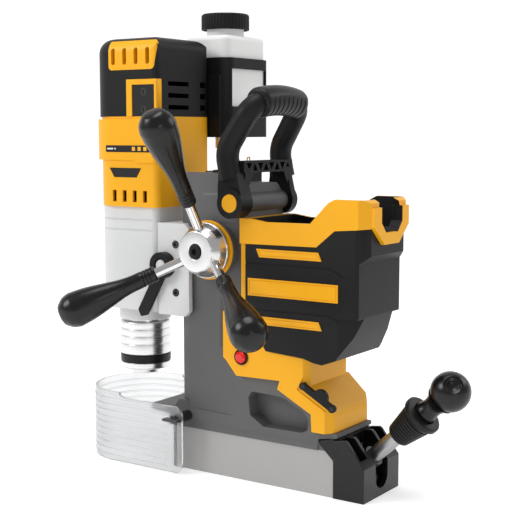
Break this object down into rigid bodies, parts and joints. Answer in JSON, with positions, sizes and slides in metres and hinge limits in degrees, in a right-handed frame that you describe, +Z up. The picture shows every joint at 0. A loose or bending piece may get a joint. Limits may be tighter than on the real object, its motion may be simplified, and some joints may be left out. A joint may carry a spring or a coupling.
{
  "type": "magnetic drill press",
  "caption": "Cordless magnetic-base drill press with sliding motor head, three-spoke feed, arbor chuck, battery bay, carry handle, coolant bottle, chip guard and magnet lever.",
  "frame": {"origin": "centre of the magnet's bottom face", "axes": "+Z up away from the work, +X to the lever end, -X to the spindle, -Y to the operator's side with the feed hub"},
  "size_m": [0.4897, 0.3047, 0.533],
  "materials": {
    "magnet_grey": "satin paint",
    "pole_steel": "ground steel",
    "casting_grey": "fine textured paint",
    "yellow_plastic": "moulded, satin",
    "black_plastic": "moulded, fine texture",
    "black_gloss": "polished thermoset",
    "black_rubber": "moulded rubber",
    "case_silver": "silver-white coat",
    "bright_steel": "turned, bright",
    "polished_chrome": "polished",
    "dark_steel": "black oxide",
    "brass_strip": "machined",
    "clear_plastic": "clear moulded plastic",
    "bottle_white": "translucent blow-moulded",
    "red_button": "polished",
    "label_dark": "printed label",
    "winding": "wound copper",
    "board_green": "lacquered board",
    "hose_clear": "soft tube"
  },
  "bodies": {
    "stand": {"magnet_housing": "magnet_grey", "pole_shoes": "pole_steel", "stand_casting": "casting_grey", "stand_screws": "dark_steel", "gib_strip": "brass_strip", "wiper_cap": "black_plastic", "lever_housing": "black_gloss", "lever_pin": "bright_steel", "feed_bushings": "brass_strip", "feed_ring": "yellow_plastic", "power_housing": "yellow_plastic", "strap_bar": "black_plastic", "battery_sleeve": "black_plastic", "side_trim": "yellow_plastic", "battery_crown": "yellow_plastic", "contact_block": "black_plastic", "control_board": "board_green", "button_bezel": "black_plastic", "handle_frame": "black_plastic", "handle_grip": "black_rubber", "handle_cap": "yellow_plastic", "guard_posts": "dark_steel"},
    "head": {"slide_carriage": "case_silver", "feed_rack": "dark_steel", "head_screws": "dark_steel", "gear_case": "case_silver", "bearings": "bright_steel", "stator": "winding", "motor_housing": "yellow_plastic", "head_plates": "label_dark", "motor_cap": "black_plastic", "cap_trim": "yellow_plastic", "bottle_bracket": "black_plastic", "coolant_fittings": "bright_steel", "coolant_hose": "hose_clear"},
    "motor_rotor": {"rotor": "bright_steel", "motor_fan": "black_plastic", "motor_pinion": "dark_steel"},
    "layshaft_body": {"layshaft": "dark_steel"},
    "spindle_body": {"spindle": "bright_steel", "chuck_body": "bright_steel", "chuck_band": "black_rubber"},
    "sleeve_body": {"release_sleeve": "bright_steel"},
    "selector_body": {"speed_selector": "black_plastic"},
    "bottle_body": {"bottle": "bottle_white"},
    "cap_body": {"bottle_cap": "black_plastic"},
    "feed": {"pinion_shaft": "dark_steel", "feed_hub": "bright_steel", "hub_plug": "black_plastic", "spokes": "polished_chrome", "spoke_grips": "black_gloss"},
    "lever": {"lever_crank": "dark_steel", "lever_rod": "polished_chrome", "lever_ball": "black_gloss"},
    "collar_body": {"lever_collar": "black_rubber"},
    "carrier_body": {"magnet_carrier": "pole_steel"},
    "button_body": {"stop_button": "red_button"},
    "guard_body": {"chip_guard": "clear_plastic"},
    "thumb_near_body": {"thumb_screw_near": "dark_steel"},
    "thumb_far_body": {"thumb_screw_far": "dark_steel"}
  },
  "joints": [
    {"name": "head_feed", "type": "slide", "parent": "stand", "child": "head", "axis": [0, 0, -1], "range_m": [0, 0.08]},
    {"name": "feed_turn", "type": "hinge", "parent": "stand", "child": "feed", "pos_m": [-0.0443, 0, 0.2592], "axis": [0, 1, 0], "range_deg": [-254.7, 0]},
    {"name": "spindle_spin", "type": "hinge", "parent": "head", "child": "spindle_body", "pos_m": [-0.178, 0, 0.2], "axis": [0, 0, 1], "continuous": true},
    {"name": "layshaft_spin", "type": "hinge", "parent": "head", "child": "layshaft_body", "pos_m": [-0.1492, 0, 0.25], "axis": [0, 0, 1], "continuous": true},
    {"name": "rotor_spin", "type": "hinge", "parent": "head", "child": "motor_rotor", "pos_m": [-0.178, 0, 0.35], "axis": [0, 0, 1], "continuous": true},
    {"name": "sleeve_twist", "type": "hinge", "parent": "spindle_body", "child": "sleeve_body", "pos_m": [-0.178, 0, 0.14], "axis": [0, 0, 1], "range_deg": [0, 30], "stiffness_Nm_per_rad": 0.6},
    {"name": "selector_turn", "type": "hinge", "parent": "head", "child": "selector_body", "pos_m": [-0.11, -0.05, 0.238], "axis": [0, 1, 0], "range_deg": [0, 40]},
    {"name": "bottle_lift", "type": "slide", "parent": "head", "child": "bottle_body", "axis": [0, 0, 1], "range_m": [0, 0.1]},
    {"name": "cap_turn", "type": "hinge", "parent": "bottle_body", "child": "cap_body", "pos_m": [-0.1285, 0.1, 0.52], "axis": [0, 0, 1], "continuous": true},
    {"name": "lever_turn", "type": "hinge", "parent": "stand", "child": "lever", "pos_m": [0.128, 0, 0.0318], "axis": [0, 1, 0], "range_deg": [0, 38]},
    {"name": "collar_pull", "type": "slide", "parent": "lever", "child": "collar_body", "axis": [0.7349, 0, 0.6782], "range_m": [0, 0.006], "stiffness_N_per_m": 600, "springref_m": -0.002},
    {"name": "carrier_shift", "type": "slide", "parent": "stand", "child": "carrier_body", "axis": [1, 0, 0], "range_m": [-0.01307, 0]},
    {"name": "stop_press", "type": "slide", "parent": "stand", "child": "button_body", "axis": [0, 1, 0], "range_m": [0, 0.002], "stiffness_N_per_m": 500, "springref_m": -0.001},
    {"name": "guard_lift", "type": "slide", "parent": "stand", "child": "guard_body", "axis": [0, 0, 1], "range_m": [0, 0.05]},
    {"name": "thumb_near_turn", "type": "hinge", "parent": "stand", "child": "thumb_near_body", "pos_m": [-0.084, -0.066, 0.064], "axis": [0, 1, 0], "continuous": true},
    {"name": "thumb_far_turn", "type": "hinge", "parent": "stand", "child": "thumb_far_body", "pos_m": [-0.084, 0.066, 0.064], "axis": [0, 1, 0], "continuous": true}
  ],
  "couplings": [
    {"joint": "feed_turn", "follows": "head_feed", "rad_per_m": -55.556},
    {"joint": "layshaft_spin", "follows": "spindle_spin", "ratio": -2.4286},
    {"joint": "rotor_spin", "follows": "spindle_spin", "ratio": 7.2857},
    {"joint": "carrier_shift", "follows": "lever_turn", "m_per_rad": -0.019635}
  ]
}
